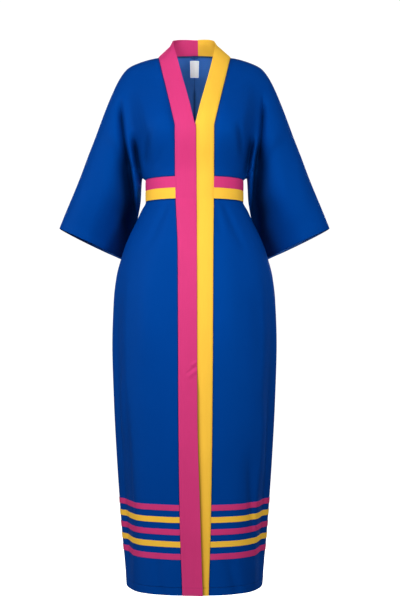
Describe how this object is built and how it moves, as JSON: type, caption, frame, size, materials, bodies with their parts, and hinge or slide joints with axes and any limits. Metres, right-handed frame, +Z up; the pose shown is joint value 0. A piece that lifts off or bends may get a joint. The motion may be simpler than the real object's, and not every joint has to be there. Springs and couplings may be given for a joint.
{
  "type": "boubou",
  "caption": "Ankle-length boubou dress with wide sleeves cut in one with the bodice, contrast front bands and collar, waistbands and hem stripes, in its worn hollow form.",
  "frame": {"origin": "base of the neck, midway between the shoulders of the wearer", "axes": "+Z up along the body, -Y out of the front of the dress, +X towards the wearer's left side"},
  "size_m": [0.7014, 0.3001, 1.3993],
  "materials": {
    "blue_cloth": "smooth heavy crepe with a soft sheen, royal blue",
    "pink_cloth": "the same smooth cloth, fuchsia pink",
    "yellow_cloth": "the same smooth cloth, warm yellow",
    "label_white": "white woven ribbon, bare"
  },
  "bodies": {
    "root": {"front_bodice_right": "blue_cloth", "front_bodice_left": "blue_cloth", "back_bodice_right": "blue_cloth", "back_bodice_left": "blue_cloth", "front_band_right_pink": "pink_cloth", "front_band_left_yellow": "yellow_cloth", "waistband_upper_front_right": "pink_cloth", "waistband_upper_front_left": "pink_cloth", "waistband_upper_back": "pink_cloth", "waistband_lower_front_right": "yellow_cloth", "waistband_lower_front_left": "yellow_cloth", "waistband_lower_back": "yellow_cloth", "skirt_front_right": "blue_cloth", "skirt_front_left": "blue_cloth", "skirt_back": "blue_cloth", "hem_stripe_1_pink": "pink_cloth", "hem_stripe_2_yellow": "yellow_cloth", "hem_stripe_3_pink": "pink_cloth", "hem_stripe_4_yellow": "yellow_cloth", "hem_stripe_5_pink": "pink_cloth", "neck_label": "label_white", "hanging_loop": "blue_cloth"}
  },
  "joints": []
}
